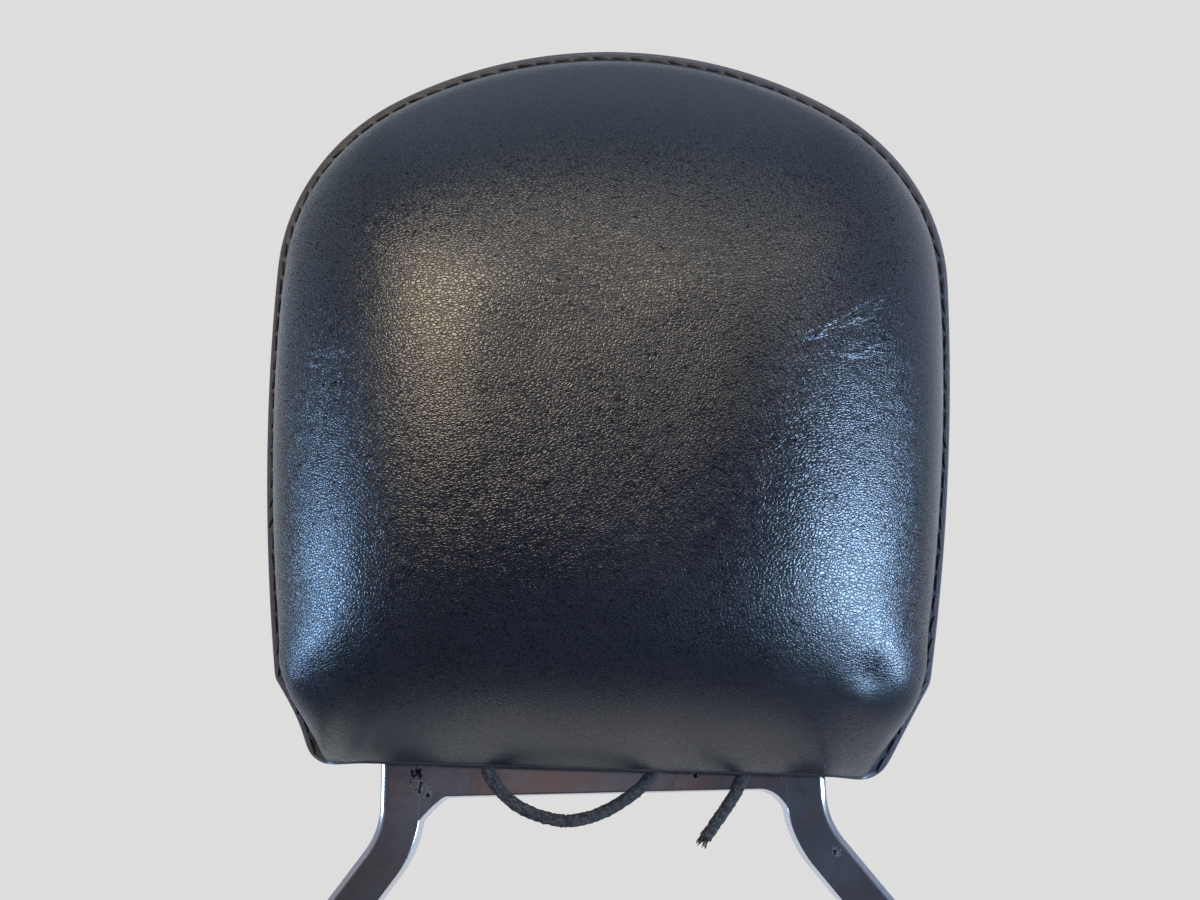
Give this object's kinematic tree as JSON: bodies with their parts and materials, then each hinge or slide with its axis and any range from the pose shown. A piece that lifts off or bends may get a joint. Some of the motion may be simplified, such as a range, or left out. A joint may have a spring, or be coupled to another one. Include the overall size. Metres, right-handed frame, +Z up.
{
  "type": "sissy bar",
  "caption": "Motorbike sissy bar: chromed square-bar frame on side plates, with a crowned black leather backrest pad stitched round its edge and laced at its mouth",
  "frame": {"origin": "middle of the rear mounting bolt's axis, in the plane of the bars", "axes": "+Z up along the uprights, +X to the right along the bolt axis, -Y is the side the pad faces"},
  "size_m": [0.272, 0.124, 0.4483],
  "materials": {
    "frame_chrome": "polished chrome with light stains, small pits and a rust speck",
    "plate_chrome": "polished chrome",
    "board_wood": "raw plywood",
    "foam": "open-cell upholstery foam",
    "cover_leather": "black satin leather with fine pebbled grain and creases",
    "back_leather": "black satin leather, flat",
    "thread": "waxed dark thread",
    "lace_leather": "matt black leather lace with fuzzy edges",
    "zinc": "zinc plated"
  },
  "bodies": {
    "root": {"left_upright": "frame_chrome", "right_upright": "frame_chrome", "left_foot": "frame_chrome", "right_foot": "frame_chrome", "top_crossbar": "frame_chrome", "lower_crossbar": "frame_chrome", "left_side_plate": "plate_chrome", "right_side_plate": "plate_chrome", "backboard": "board_wood", "foam_pad": "foam", "cover_front": "cover_leather", "cover_back": "back_leather", "seam_thread": "thread", "lace": "lace_leather", "lace_knot": "lace_leather", "board_screw_1": "zinc", "board_screw_2": "zinc", "board_screw_3": "zinc", "board_screw_4": "zinc", "tee_nut_1": "zinc", "tee_nut_2": "zinc", "tee_nut_3": "zinc", "tee_nut_4": "zinc"}
  },
  "joints": []
}
